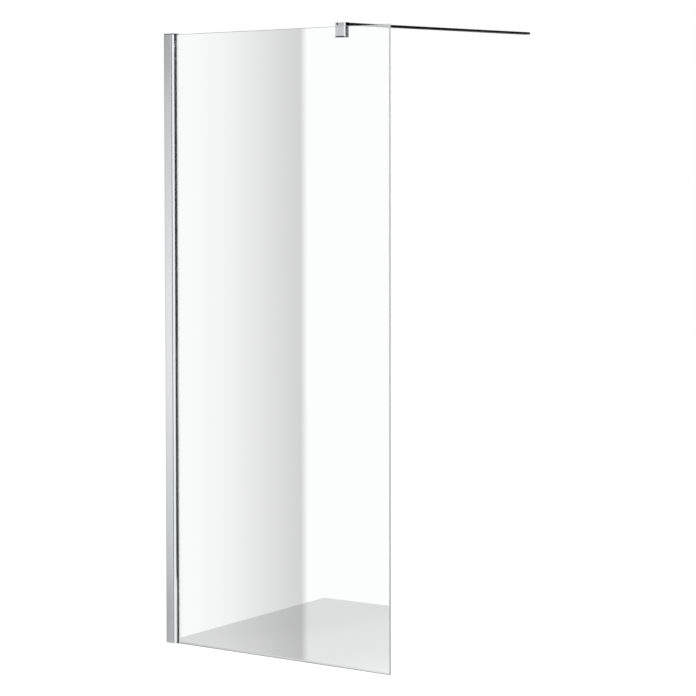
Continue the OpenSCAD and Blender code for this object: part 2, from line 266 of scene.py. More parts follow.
def buildGrainGroup():
    # fine grain stretched along one axis, such as die lines or polish marks
    tree, given, made = newGroup("stretchedGrain", "ShaderNodeTree", [
        ("Stretch", "NodeSocketVector", (1, 1, 1)),
        ("Low", "NodeSocketFloat", 0.0),
        ("High", "NodeSocketFloat", 1.0),
    ], [("Value", "NodeSocketFloat"), ("Height", "NodeSocketFloat")])
    place = addNode(tree, "ShaderNodeTexCoord")
    stretched = addNode(tree, "ShaderNodeVectorMath", {
        0: place.outputs["Object"], 1: given.outputs["Stretch"]}, operation="MULTIPLY")
    grain = addNode(tree, "ShaderNodeTexNoise", {
        "Vector": stretched.outputs["Vector"], "Scale": 1.0, "Detail": 3.0, "Roughness": 0.6})
    spread = addNode(tree, "ShaderNodeMapRange", {
        "Value": grain.outputs["Fac"], "From Min": 0.3, "From Max": 0.7,
        "To Min": given.outputs["Low"], "To Max": given.outputs["High"]})
    tree.links.new(spread.outputs["Result"], made.inputs["Value"])
    tree.links.new(grain.outputs["Fac"], made.inputs["Height"])
    return tree


def buildSmudgeGroup():
    # broad soft patches, such as wiped water marks and finger smudges
    tree, given, made = newGroup("softSmudges", "ShaderNodeTree", [
        ("Size", "NodeSocketFloat", 12.0),
        ("Low", "NodeSocketFloat", 0.0),
        ("High", "NodeSocketFloat", 1.0),
    ], [("Value", "NodeSocketFloat")])
    place = addNode(tree, "ShaderNodeTexCoord")
    broad = addNode(tree, "ShaderNodeTexNoise", {
        "Vector": place.outputs["Object"], "Scale": given.outputs["Size"], "Detail": 4.0})
    mask = addNode(tree, "ShaderNodeMapRange", {
        "Value": broad.outputs["Fac"], "From Min": 0.42, "From Max": 0.68})
    spread = addNode(tree, "ShaderNodeMapRange", {
        "Value": mask.outputs["Result"],
        "To Min": given.outputs["Low"], "To Max": given.outputs["High"]})
    tree.links.new(spread.outputs["Result"], made.inputs["Value"])
    return tree


grainGroup = buildGrainGroup()
smudgeGroup = buildSmudgeGroup()


def newMaterial(name, colour, **shine):
    material = bpy.data.materials.new(name)
    material.use_nodes = True
    material.diffuse_color = (*colour, 1)
    tree = material.node_tree
    shader = tree.nodes["Principled BSDF"]
    shader.inputs["Base Color"].default_value = (*colour, 1)
    for label, value in shine.items():
        shader.inputs[label.replace("_", " ")].default_value = value
    return material, tree, shader


def placeGroup(tree, group, **values):
    placed = addNode(tree, "ShaderNodeGroup", node_tree=group)
    for label, value in values.items():
        placed.inputs[label].default_value = value
    return placed


def scaledColour(tree, colour, share):
    # one colour, made darker or paler by a value that changes over the surface
    return addNode(tree, "ShaderNodeVectorMath", {0: colour, 3: share}, operation="SCALE").outputs["Vector"]


def addRelief(tree, shader, height, strength, depth):
    relief = addNode(tree, "ShaderNodeBump", {"Height": height, "Strength": strength, "Distance": depth})
    tree.links.new(relief.outputs["Normal"], shader.inputs["Normal"])


def metalFinish(name, colour, roughness, spread, stretch, bump, tint=0.04):
    # a metal whose grain runs along one axis, with broad wiped patches over it
    material, tree, shader = newMaterial(name, colour, Metallic=1.0)
    grain = placeGroup(tree, grainGroup, Stretch=stretch, Low=roughness - spread, High=roughness + spread)
    smudge = placeGroup(tree, smudgeGroup, Size=9.0, Low=0.0, High=spread)
    total = maths(tree, "ADD", grain.outputs["Value"], smudge.outputs["Value"])
    tree.links.new(total, shader.inputs["Roughness"])
    darker = [c * (1 - tint) for c in colour] + [1]
    paler = [min(1, c * (1 + tint)) for c in colour] + [1]
    shade = mixColours(tree, grain.outputs["Height"], darker, paler)
    tree.links.new(shade, shader.inputs["Base Color"])
    addRelief(tree, shader, grain.outputs["Height"], bump, depth=0.02 * mm)
    return material


def softFinish(name, colour, roughness, grainScale, bump, specular=0.5, spread=0.08):
    # a moulded plastic or rubber with a fine matt texture
    material, tree, shader = newMaterial(name, colour, Specular_IOR_Level=specular)
    grain = placeGroup(tree, grainGroup, Stretch=(grainScale,) * 3, Low=roughness - spread,
                       High=roughness + spread)
    smudge = placeGroup(tree, smudgeGroup, Size=14.0, Low=0.85, High=1.25)
    tree.links.new(grain.outputs["Value"], shader.inputs["Roughness"])
    shade = scaledColour(tree, colour, smudge.outputs["Value"])
    tree.links.new(shade, shader.inputs["Base Color"])
    addRelief(tree, shader, grain.outputs["Height"], bump, depth=0.05 * mm)
    return material


def glassFinish(name, colour, daylight):
    # clear glass that lets daylight through for shadows and diffuse light
    material, tree, shader = newMaterial(name, colour, IOR=1.52, Transmission_Weight=1.0)
    smudge = placeGroup(tree, smudgeGroup, Size=5.0, Low=0.0, High=0.012)
    tree.links.new(smudge.outputs["Value"], shader.inputs["Roughness"])
    path = addNode(tree, "ShaderNodeLightPath")
    soft = maths(tree, "MAXIMUM", path.outputs["Is Shadow Ray"], path.outputs["Is Diffuse Ray"])
    clear = addNode(tree, "ShaderNodeBsdfTransparent", {"Color": (*daylight, 1)})
    mixed = mixShaders(tree, soft, shader.outputs[0], clear.outputs[0])
    tree.links.new(mixed, tree.nodes["Material Output"].inputs["Surface"])
    return material


def edgeFinish(name, outside, inside):
    # ground glass edge: one shade from outside, and a paler one from within the pane, which is a painted
    # highlight
    material, tree, shader = newMaterial(name, outside, Roughness=0.3)
    face = addNode(tree, "ShaderNodeNewGeometry")
    grain = placeGroup(tree, grainGroup, Stretch=(900.0, 900.0, 60.0), Low=0.9, High=1.1)
    ground = scaledColour(tree, outside, grain.outputs["Value"])
    # painted highlight: the paler colour where the edge is seen from within the pane
    shade = mixColours(tree, face.outputs["Backfacing"], ground, (*inside, 1))
    tree.links.new(shade, shader.inputs["Base Color"])
    return material


def linerFinish(name, colour, transmission):
    # a soft plastic, from clear to milky
    material, tree, shader = newMaterial(name, colour, IOR=1.46, Transmission_Weight=transmission)
    grain = placeGroup(tree, grainGroup, Stretch=(500.0,) * 3, Low=0.22, High=0.38)
    tree.links.new(grain.outputs["Value"], shader.inputs["Roughness"])
    return material


profileMetal = metalFinish("brightProfileMetal", (0.86, 0.87, 0.88), roughness=0.07, spread=0.03,
                           stretch=(700.0, 700.0, 3.0), bump=0.15)
barMetal = metalFinish("barChrome", (0.83, 0.84, 0.86), roughness=0.05, spread=0.02,
                       stretch=(600.0, 3.0, 600.0), bump=0.08)
chromeMetal = metalFinish("fittingChrome", (0.83, 0.84, 0.86), roughness=0.05, spread=0.02,
                          stretch=(90.0, 90.0, 90.0), bump=0.04)
steelMetal = metalFinish("fastenerSteel", (0.62, 0.63, 0.65), roughness=0.30, spread=0.08,
                         stretch=(900.0, 900.0, 120.0), bump=0.2)
capPlastic = softFinish("darkCapPlastic", (0.045, 0.047, 0.05), roughness=0.45, grainScale=1800.0, bump=0.35)
sealRubber = softFinish("sealRubber", (0.032, 0.033, 0.033), roughness=0.6, grainScale=1500.0, bump=0.4,
                        specular=0.35)
clearGlass = glassFinish("clearGlass", (0.985, 0.995, 0.99), daylight=(0.95, 0.97, 0.96))
glassEdge = edgeFinish("glassEdge", outside=(0.78, 0.84, 0.82), inside=(0.95, 0.97, 0.96))
# the level arrises get a dark copy of the ground edge: painted shade that draws dark lines along the pane's
# top and bottom
glassArris = edgeFinish("glassArris", outside=(0.16, 0.19, 0.18), inside=(0.24, 0.28, 0.27))
linerPlastic = linerFinish("clearLinerPlastic", (0.75, 0.80, 0.79), transmission=0.6)
sealPlastic = linerFinish("milkySealPlastic", (0.90, 0.93, 0.92), transmission=0.15)
print("finishes built")


# Wall profile

channelSizes = {"wall": 1.7 * mm, "web": 2.2 * mm, "tipRound": 0.6 * mm, "tipInside": 0.3 * mm,
                "innerRound": 0.4 * mm, "ribAt": 4.5 * mm, "ribThick": 1 * mm, "ribHeight": 3 * mm,
                "ribRound": 0.3 * mm, "wallHole": 2.5 * mm, "drillReach": 4 * mm,
                "wallHoleZ": (0.1, 0.7, 1.3, 1.9), "screwHole": 2.1 * mm, "screwX": 19.5 * mm,
                "screwZ": (0.25, 1.0, 1.75)}


def upright(u, v, w):
    return (u, v, w)


def buildChannel(sizes):
    low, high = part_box("wall_channel")
    depth, half = high[0], high[1]
    inner, web, small = half - sizes["wall"], sizes["web"], sizes["innerRound"]
    ribIn, ribOut = sizes["ribAt"], sizes["ribAt"] + sizes["ribThick"]
    ribX, ribRound = web + sizes["ribHeight"], sizes["ribRound"]
    side = [(depth, half, sizes["tipRound"]), (depth, inner, sizes["tipInside"]), (web, inner, small),
            (web, ribOut, small), (ribX, ribOut, ribRound), (ribX, ribIn, ribRound), (web, ribIn, small)]
    outline = [(0, half, 0)] + side + [(x, -y, r) for x, y, r in reversed(side)] + [(0, -half, 0)]
    piece = extrudeOutlines("wall_channel_fine", [filletOutline(outline)], low[2], high[2], upright)
    cutters = [pin(sizes["wallHole"], (-mm, 0, z), (sizes["drillReach"], 0, z)) for z in sizes["wallHoleZ"]]
    cutters += [pin(sizes["screwHole"], (sizes["screwX"], inner - mm, z), (sizes["screwX"], half + mm, z))
                for z in sizes["screwZ"]]
    return shadeByAngle(cutAway(piece, cutters))


finishPiece(buildChannel(channelSizes), "wall_channel", "channel", "bright_profile", profileMetal)

profileSizes = {"half": 12 * mm, "arm": 1.6 * mm, "armX": 3.2 * mm, "webX": 24 * mm, "webThick": 1.6 * mm,
                "pocket": 6.5 * mm, "pocketRound": 0.25 * mm, "chamberIn": 7.9 * mm, "chamberOut": 10 * mm,
                "chamberX": (27 * mm, 43.4 * mm), "noseX": 35 * mm, "noseRound": 0.2 * mm, "crown": 1.2 * mm,
                "tipRise": 0.12 * mm, "slotX": 39.2 * mm, "slotHalf": 1 * mm, "travelSlot": 2.3 * mm,
                "travelX": (7.5 * mm, 19.5 * mm)}


def noseSide(sizes, end, steps=12):
    # the long arc that curves the nose in, from where the channel ends out to its end
    run = end - sizes["noseX"]
    radius = (run ** 2 + sizes["crown"] ** 2) / (2 * sizes["crown"])
    full = math.asin(run / radius)
    arc = []
    for step in range(steps + 1):
        turn = full * step / steps
        arc.append((sizes["noseX"] + radius * math.sin(turn), sizes["half"] - radius * (1 - math.cos(turn))))
    return arc


def buildProfile(sizes):
    low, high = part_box("glazing_profile")
    end, outside, inside = high[0], sizes["half"], sizes["half"] - sizes["arm"]
    pocket, chamberIn, chamberOut = sizes["pocket"], sizes["chamberIn"], sizes["chamberOut"]
    chamberLow, chamberHigh = sizes["chamberX"]
    slotLow, slotHigh = sizes["slotX"] - sizes["slotHalf"], sizes["slotX"] + sizes["slotHalf"]
    tipY = outside - sizes["crown"]
    tip = [(end - mm, tipY + sizes["tipRise"], 0), (end, tipY, sizes["noseRound"]),
           (end, pocket, sizes["pocketRound"]), (slotHigh, pocket, 0)]
    # one half, from the web round the arm and the nose to the pocket's floor
    side = [(sizes["webX"], inside), (sizes["armX"], inside), (sizes["armX"], outside)]
    side += noseSide(sizes, end)[:-1]
    side += [(p.x, p.y) for p in filletOutline(tip, steps=4)[1:-1]]
    side += [(slotHigh, pocket), (slotHigh, chamberIn), (chamberHigh, chamberIn), (chamberHigh, chamberOut),
             (chamberLow, chamberOut), (chamberLow, chamberIn), (slotLow, chamberIn), (slotLow, pocket),
             (sizes["webX"] + sizes["webThick"], pocket)]
    outline = side + [(x, -y) for x, y in reversed(side)]
    piece = extrudeOutlines("glazing_profile_fine", [outline], low[2], high[2], upright)
    slot, inner, outer = sizes["travelSlot"], inside - mm, outside + mm
    first, last = sizes["travelX"]
    for z in channelSizes["screwZ"]:
        cutAway(piece, [pin(slot, (x, inner, z), (x, outer, z)) for x in (first, last)]
                + [block((first, inner, z - slot), (last, outer, z + slot))])
    return shadeByAngle(piece)


finishPiece(buildProfile(profileSizes), "glazing_profile", "screen", "bright_profile", profileMetal)
print("wall profile built")


# Caps over the profile

softCopy("wall_channel_cap", "channel", "cap_plastic", capPlastic, edge=0.25 * mm)
softCopy("glazing_profile_cap", "screen", "cap_plastic", capPlastic, edge=0.25 * mm)


# Gaskets: the last four sizes are the radii of their corners

gasketSizes = {"start": 35 * mm, "end": 45 * mm, "lip": 0.8 * mm, "lipThick": 0.5 * mm, "pocket": 6.5 * mm,
               "glass": 4 * mm, "leadIn": 1 * mm, "barbX": 39.2 * mm, "stem": 0.8 * mm, "head": 1.6 * mm,
               "neck": 7.9 * mm, "barbTop": 9.6 * mm,
               "inner": 0.1 * mm, "tip": 0.15 * mm, "edge": 0.2 * mm, "lead": 0.3 * mm}


def buildGasket(node, sizes, side):
    low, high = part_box(node)
    start, pocket, glass, lipX = sizes["start"], sizes["pocket"], sizes["glass"], sizes["end"] + sizes["lip"]
    inner, tip, edge, lead = (sizes[key] for key in ("inner", "tip", "edge", "lead"))
    corners = [(start, pocket, tip), (start + sizes["leadIn"], glass, lead), (lipX, glass, tip),
               (lipX, glass + sizes["lipThick"], edge), (sizes["end"], pocket, lead)]
    # one side of the barb, measured from its middle
    barb = [(sizes["stem"], pocket, inner), (sizes["stem"], sizes["neck"], inner),
            (sizes["head"], sizes["neck"], tip), (sizes["stem"], sizes["barbTop"], edge)]
    corners += [(sizes["barbX"] + x, y, r) for x, y, r in barb]
    corners += [(sizes["barbX"] - x, y, r) for x, y, r in reversed(barb)]
    piece = extrudeOutlines(node + "_fine", [filletOutline(corners, steps=4)], low[2], high[2],
                            lambda u, v, w: (u, side * v, w))
    return shadeByAngle(piece)


finishPiece(buildGasket("front_gasket", gasketSizes, -1), "front_gasket", "screen", "gasket_rubber",
            sealRubber)
finishPiece(buildGasket("rear_gasket", gasketSizes, 1), "rear_gasket", "screen", "clear_liner", sealPlastic)


# Glass

def buildGlass(arris=1 * mm, along=0.9, tilted=0.1):
    bm = boxMesh(*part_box("glass_panel"))
    bmesh.ops.bevel(bm, geom=bm.edges[:], offset=arris, offset_type="OFFSET", segments=1, affect="EDGES",
                    clamp_overlap=True)
    bm.normal_update()
    # finish 0 is for the pane's two sides, 1 for its edges and upright arrises, 2 for its level arrises,
    # whose dark finish is painted shade
    for face in bm.faces:
        straight = max(abs(c) for c in face.normal) > along
        level = abs(face.normal.z) > tilted
        face.material_index = 0 if abs(face.normal.y) > along else 2 if level and not straight else 1
    return pieceFrom(bm, "glass_panel_fine")


finishPiece(buildGlass(), "glass_panel", "screen", "clear_glass", clearGlass, glassEdge, glassArris)
print("glass and seals built")


# Clamp, liner and plate

softCopy("clamp_body", "support", "bright_fitting", chromeMetal, edge=0.3 * mm, steps=3)
softCopy("clamp_liner", "support", "clear_liner", linerPlastic, edge=0.2 * mm)
softCopy("clamp_pressure_plate", "support", "fastener_steel", steelMetal, edge=0.2 * mm)


# Support bar with its end plug, and the spigot at the second wall

barSizes = {"edge": 0.6 * mm, "wall": 1.3 * mm, "innerRound": 0.4 * mm, "screwX": 6 * mm, "screwY": 0.75 * mm,
            "screwHole": 2.1 * mm, "grubBack": 25 * mm, "grubHole": 2 * mm}


def buildBar(sizes):
    low, high = boxOf("support_bar")
    middle = (low + high) / 2
    halfW, halfH = (high.x - low.x) / 2, (high.z - low.z) / 2
    wall = sizes["wall"]

    def ring(w, h, r):
        return filletOutline([(w, -h, r), (w, h, r), (-w, h, r), (-w, -h, r)], steps=8)

    piece = extrudeOutlines(
        "support_bar_fine",
        [ring(halfW, halfH, sizes["edge"]), ring(halfW - wall, halfH - wall, sizes["innerRound"])],
        low.y, high.y, lambda u, v, w: (middle.x + u, w, middle.z + v))
    holes = [(sizes["screwHole"], middle.x + side * sizes["screwX"], sizes["screwY"]) for side in (-1, 1)]
    holes.append((sizes["grubHole"], middle.x, high.y - sizes["grubBack"]))
    below, above = low.z - mm, low.z + wall + mm
    cutAway(piece, [pin(radius, (x, y, below), (x, y, above)) for radius, x, y in holes])
    return shadeByAngle(piece)


finishPiece(buildBar(barSizes), "support_bar", "support", "bright_fitting", barMetal)
softCopy("bar_end_plug", "support", "bright_fitting", chromeMetal, edge=0.2 * mm)
softCopy("wall_spigot", "spigot", "fastener_steel", steelMetal, edge=0.25 * mm)
print("clamp and bar built")


# Screws and other repeats, made by Geometry Nodes

threadSizes = {"sides": 28, "rowsPerTurn": 6, "depth": 0.5, "overlap": 0.05 * mm}  # depth as a share of pitch


def groupInput(tree, label):
    return next(item.identifier for item in tree.interface.items_tree
                if item.item_type == "SOCKET" and item.in_out == "INPUT" and item.name == label)


def endTree(tree, made, geometry, material):
    # real geometry in its own material, because the export drops instances
    real = addNode(tree, "GeometryNodeRealizeInstances", {"Geometry": geometry})
    painted = addNode(tree, "GeometryNodeSetMaterial", {
        "Geometry": real.outputs["Geometry"], "Material": material})
    tree.links.new(painted.outputs["Geometry"], made.inputs["Geometry"])
    return tree


def buildRowTree():
    # one piece repeated along a straight row
    tree, given, made = newGroup("rowOfPieces", "GeometryNodeTree", [
        ("Geometry", "NodeSocketGeometry", None),
        ("Piece", "NodeSocketObject", None),
        ("Count", "NodeSocketInt", 1),
        ("Start", "NodeSocketVector", (0, 0, 0)),
        ("Step", "NodeSocketVector", (0, 0, 0)),
        ("Turn", "NodeSocketRotation", None),
        ("Material", "NodeSocketMaterial", None),
    ], [("Geometry", "NodeSocketGeometry")])
    row = addNode(tree, "GeometryNodeMeshLine", {
        "Count": given.outputs["Count"], "Start Location": given.outputs["Start"],
        "Offset": given.outputs["Step"]})
    source = addNode(tree, "GeometryNodeObjectInfo", {"Object": given.outputs["Piece"]})
    placed = addNode(tree, "GeometryNodeInstanceOnPoints", {
        "Points": row.outputs["Mesh"], "Instance": source.outputs["Geometry"],
        "Rotation": given.outputs["Turn"]})
    return endTree(tree, made, placed.outputs["Instances"], given.outputs["Material"])


def buildThreadTree(sides):
    # a round shank whose side rises and falls along a helix, chamfered towards its tip
    tree, given, made = newGroup("threadedShank", "GeometryNodeTree", [
        ("Geometry", "NodeSocketGeometry", None),
        ("Radius", "NodeSocketFloat", 2 * mm),
        ("Length", "NodeSocketFloat", 8 * mm),
        ("Pitch", "NodeSocketFloat", 0.7 * mm),
        ("Depth", "NodeSocketFloat", 0.35 * mm),
        ("Chamfer", "NodeSocketFloat", 0.5 * mm),
        ("Rows", "NodeSocketInt", 40),
        ("Material", "NodeSocketMaterial", None),
    ], [("Geometry", "NodeSocketGeometry")])

    def work(operation, *values):
        return maths(tree, operation, *values)

    shank = addNode(tree, "GeometryNodeMeshCylinder", {
        "Vertices": sides, "Side Segments": given.outputs["Rows"], "Fill Segments": 1,
        "Radius": given.outputs["Radius"], "Depth": given.outputs["Length"]}, fill_type="TRIANGLE_FAN")
    place = addNode(tree, "GeometryNodeInputPosition")
    parts = addNode(tree, "ShaderNodeSeparateXYZ", {0: place.outputs["Position"]})
    x, y, z = (parts.outputs[axis] for axis in ("X", "Y", "Z"))
    turn = work("DIVIDE", work("ARCTAN2", y, x), 2 * math.pi)
    climb = work("DIVIDE", z, given.outputs["Pitch"])
    wave = work("MULTIPLY", work("PINGPONG", work("SUBTRACT", climb, turn), 0.5), 2.0)
    groove = work("MULTIPLY", wave, given.outputs["Depth"])
    tip = work("MULTIPLY", given.outputs["Length"], 0.5)
    chamfer = work("SUBTRACT", given.outputs["Chamfer"], work("SUBTRACT", tip, z))
    cut = work("MAXIMUM", groove, work("MAXIMUM", chamfer, 0.0))
    share = work("SUBTRACT", 1.0, work("DIVIDE", cut, given.outputs["Radius"]))
    moved = addNode(tree, "ShaderNodeCombineXYZ", {
        "X": work("MULTIPLY", x, share), "Y": work("MULTIPLY", y, share), "Z": work("ADD", z, tip)})
    shaped = addNode(tree, "GeometryNodeSetPosition", {
        "Geometry": shank.outputs["Mesh"], "Position": moved.outputs["Vector"]})
    return endTree(tree, made, shaped.outputs["Geometry"], given.outputs["Material"])


def growFromTree(name, tree, **values):
    # an empty mesh with the tree on it, baked into a plain mesh
    piece = linkMesh(name, bpy.data.meshes.new(name))
    grow = piece.modifiers.new("grow", "NODES")
    grow.node_group = tree
    for label, value in values.items():
        grow[groupInput(tree, label)] = value
    return bakeModifiers(piece)


def joinMeshes(name, parts):
    bm = bmesh.new()
    for part in parts:
        bm.from_mesh(part.data)
        bpy.data.objects.remove(part)
    return pieceFrom(bm, name)


rowTree = buildRowTree()
threadTree = buildThreadTree(threadSizes["sides"])


def crossRecess(top, length, width, depth, narrow=0.55, thin=0.8):
    # two blades that cut a cross into a screw head; narrow and thin are what is left of them at the bottom
    cutters = []
    for turn in (0, math.pi / 2):
        blade = block((-length / 2, -width / 2, top - mm), (length / 2, width / 2, top + depth))
        for vertex in blade.data.vertices:
            if vertex.co.z > top:
                vertex.co.x *= narrow
                vertex.co.y *= thin
        blade.data.transform(Matrix.Rotation(turn, 4, "Z"))
        cutters.append(blade)
    return cutters


def makeScrew(name, sizes, reach, material):
    # a screw along +Z: its head starts at the profile's first height, and its tip is at reach
    headLow, headTop = sizes["head"][0][1], sizes["head"][-1][1]
    overlap, perTurn = threadSizes["overlap"], threadSizes["rowsPerTurn"]
    rows = max(perTurn, int((reach - headTop) / sizes["pitch"] * perTurn))
    shank = growFromTree(name + "Shank", threadTree, Radius=sizes["radius"], Length=reach - headTop + overlap,
                         Pitch=sizes["pitch"], Depth=threadSizes["depth"] * sizes["pitch"],
                         Chamfer=sizes["chamfer"], Rows=rows, Material=material)
    shank.data.transform(Matrix.Translation((0, 0, headTop - overlap)))
    head = lathe(name + "Head", sizes["head"])
    if sizes["drive"] == "cross":
        drive = crossRecess(headLow, sizes["across"], sizes["bladeWidth"], sizes["driveDepth"])
    else:
        radius = sizes["across"] / 2 / math.cos(math.pi / 6)
        drive = [pin(radius, (0, 0, headLow - mm), (0, 0, headLow + sizes["driveDepth"]), sides=6)]
    return joinMeshes(name, [cutAway(head, drive), shank])


def placeRow(node, master, material, axis, count, radius, start, turn=(0, 0, 0)):
    # the repeats fill the node's own box along the row's axis
    low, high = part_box(node)
    start, step = Vector(start), Vector()
    start[axis] = low[axis] + radius
    if count > 1:
        step[axis] = (high[axis] - low[axis] - 2 * radius) / (count - 1)
    row = growFromTree(node + "_fine", rowTree, Piece=master, Count=count, Start=start[:], Step=step[:],
                       Turn=turn, Material=material)
    bpy.data.objects.remove(master)
    return shadeByAngle(row, degrees=40)


def placeScrews(node, body, sizes, axis, count, inward=False):
    # inward screws point along -Y, the others straight up
    low, high = boxOf(node)
    start = (low + high) / 2
    headLow = sizes["head"][0][1]
    if inward:
        start.y = high.y + headLow
        reach, turn = start.y - low.y, (math.pi / 2, 0, 0)
    else:
        start.z = low.z - headLow
        reach, turn = high.z - start.z, (0, 0, 0)
    master = makeScrew(node + "Master", sizes, reach, steelMetal)
    radius = max(corner[0] for corner in sizes["head"])
    row = placeRow(node, master, steelMetal, axis, count, radius, start, turn)
    finishPiece(row, node, body, "fastener_steel", steelMetal)


panSizes = {"radius": 1.95 * mm, "pitch": 0.7 * mm, "chamfer": 0.5 * mm,
            "drive": "cross", "across": 4.4 * mm, "bladeWidth": 1 * mm, "driveDepth": 1.4 * mm,
            "head": [(0, -2.2 * mm), (1.9 * mm, -2.15 * mm), (2.9 * mm, -1.9 * mm), (3.55 * mm, -1.4 * mm),
                     (3.8 * mm, -0.8 * mm), (3.8 * mm, -0.1 * mm), (3.7 * mm, 0), (0, 0)]}
grubSizes = {"radius": 2.45 * mm, "pitch": 0.8 * mm, "chamfer": 0.6 * mm,
             "drive": "hex", "across": 2.5 * mm, "driveDepth": 2 * mm,
             "head": [(0, 0), (2.1 * mm, 0), (2.45 * mm, 0.3 * mm), (2.45 * mm, 2.3 * mm), (0, 2.3 * mm)]}
sunkSizes = {"radius": 1.95 * mm, "pitch": 0.7 * mm, "chamfer": 0.4 * mm,
             "drive": "hex", "across": 2.5 * mm, "driveDepth": 1.4 * mm,
             "head": [(0, 0), (3.75 * mm, 0), (3.85 * mm, 0.1 * mm), (1.95 * mm, 1.9 * mm), (0, 1.9 * mm)]}
smallGrubSizes = {"radius": 1.95 * mm, "pitch": 0.7 * mm, "chamfer": 0.6 * mm,
                  "drive": "hex", "across": 2 * mm, "driveDepth": 1.6 * mm,
                  "head": [(0, 0), (1.6 * mm, 0), (1.95 * mm, 0.3 * mm), (1.95 * mm, 1.85 * mm),
                           (0, 1.85 * mm)]}

placeScrews("adjusting_screws", "channel", panSizes, axis=2, count=3, inward=True)
placeScrews("clamp_grub_screws", "support", grubSizes, axis=0, count=2, inward=True)
placeScrews("bar_fixing_screws", "support", sunkSizes, axis=0, count=2)
placeScrews("bar_grub_screw", "support", smallGrubSizes, axis=0, count=1)

coverSizes = {"radius": 5.5 * mm, "height": 3.4 * mm, "edge": 1.2 * mm, "wall": 0.8 * mm, "count": 3}
nutSizes = {"half": 3.5 * mm, "hole": 2 * mm, "edge": 0.25 * mm, "count": 3}
padSizes = {"half": 30 * mm, "edge": 0.3 * mm, "count": 3}


def buildCover(sizes, steps=6):
    radius, height, edge, wall = (sizes[key] for key in ("radius", "height", "edge", "wall"))
    turns = [math.pi / 2 * step / steps for step in range(steps + 1)]
    profile = [(0, height - wall), (radius - wall, height - wall), (radius - wall, 0), (radius, 0)]
    profile += [(radius - edge + edge * math.cos(t), height - edge + edge * math.sin(t)) for t in turns]
    return lathe("coverMaster", profile + [(0, height)])


def buildNut(sizes):
    low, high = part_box("clamping_nuts")
    thick = (high[1] - low[1]) / 2
    half = sizes["half"]
    nut = cutAway(block((-half, -thick, -half), (half, thick, half)),
                  [pin(sizes["hole"], (0, -mm - thick, 0), (0, thick + mm, 0))])
    return softenEdges(nut, sizes["edge"])


def buildPad(sizes):
    low, high = boxOf("glass_edge_pads")
    half = Vector(((high.x - low.x) / 2, (high.y - low.y) / 2, sizes["half"]))
    return softenEdges(block(-half, half), sizes["edge"])


coverStart = centreOf("screw_cover_caps")
coverStart.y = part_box("screw_cover_caps")[0][1]
covers = placeRow("screw_cover_caps", buildCover(coverSizes), chromeMetal, axis=2, count=coverSizes["count"],
                  radius=coverSizes["radius"], start=coverStart, turn=(-math.pi / 2, 0, 0))
finishPiece(covers, "screw_cover_caps", "channel", "bright_fitting", chromeMetal)
nuts = placeRow("clamping_nuts", buildNut(nutSizes), steelMetal, axis=2, count=nutSizes["count"],
                radius=nutSizes["half"], start=centreOf("clamping_nuts"))
finishPiece(nuts, "clamping_nuts", "channel", "fastener_steel", steelMetal)
pads = placeRow("glass_edge_pads", buildPad(padSizes), sealRubber, axis=2, count=padSizes["count"],
                radius=padSizes["half"], start=centreOf("glass_edge_pads"))
finishPiece(pads, "glass_edge_pads", "screen", "gasket_rubber", sealRubber)
print("screws, nuts, covers and pads built")


# Stage: floor, backdrop, reflectors and lamps

def stagePiece(name, corners, material, seenBy):
    # a flat stage piece, seen only by the kinds of ray that are named
    mesh = bpy.data.meshes.new(name)
    mesh.from_pydata([tuple(corner) for corner in corners], [], [tuple(range(len(corners)))])
    mesh.materials.append(material)
    piece = linkMesh(name, mesh)
    for kind in ("camera", "diffuse", "glossy", "transmission", "volume_scatter", "shadow"):
        setattr(piece, "visible_" + kind, kind in seenBy)


def standCard(name, sizes, material, seenBy):
    # an upright card whose face looks along facing, an angle in degrees round Z
    turn = math.radians(sizes["facing"])
    side = Vector((-math.sin(turn), math.cos(turn), 0)) * sizes["width"] / 2
    centre = Vector((*sizes["centre"], 0))
    low, high = Vector((0, 0, sizes["low"])), Vector((0, 0, sizes["high"]))
    corners = [centre - side + low, centre + side + low, centre + side + high, centre - side + high]
    stagePiece(name, corners, material, seenBy)


def bareMaterial(name):
    # a material with nothing in it but its output
    material = bpy.data.materials.new(name)
    material.use_nodes = True
    tree = material.node_tree
    tree.nodes.clear()
    return material, tree, tree.nodes.new("ShaderNodeOutputMaterial")


def passThrough(tree):
    return tree.nodes.new("ShaderNodeBsdfTransparent").outputs[0]


def bouncedBy(tree, kind, bounces=1):
    # 1 for a ray that has been through at least so many bounces of one kind
    path = addNode(tree, "ShaderNodeLightPath")
    return maths(tree, "GREATER_THAN", path.outputs[kind + " Depth"], bounces - 0.5)


def glowFinish(name, stops, axis, span=1.0, start=0.0, veil=None, behindPane=False):
    # a plain glow whose level follows a ramp from start over span; stops are (place in metres, level)
    material, tree, out = bareMaterial(name)
    place = addNode(tree, "ShaderNodeTexCoord")
    parts = addNode(tree, "ShaderNodeSeparateXYZ", {0: place.outputs["Object"]})
    along = maths(tree, "MULTIPLY_ADD", parts.outputs[axis], 1 / span, -start / span)
    ramp = addNode(tree, "ShaderNodeValToRGB", {"Fac": along})
    points = ramp.color_ramp.elements
    while len(points) < len(stops):
        points.new(0.5)
    for point, (at, level) in zip(points, stops):
        point.position = (at - start) / span
        point.color = (*level, 1) if isinstance(level, tuple) else (level, level, level, 1)
    surface = addNode(tree, "ShaderNodeEmission", {"Color": ramp.outputs["Color"]}).outputs[0]
    if veil is not None:
        # a veil over what stands behind, and nothing at all for what metal reflects
        see = addNode(tree, "ShaderNodeBsdfTransparent", {"Color": ramp.outputs["Color"]})
        surface = mixShaders(tree, veil, see.outputs[0], surface)
        surface = mixShaders(tree, bouncedBy(tree, "Glossy"), surface, passThrough(tree))
    if behindPane:
        # only for metal that is itself seen through the pane
        surface = mixShaders(tree, bouncedBy(tree, "Transmission"), passThrough(tree), surface)
    tree.links.new(surface, out.inputs["Surface"])
    return material


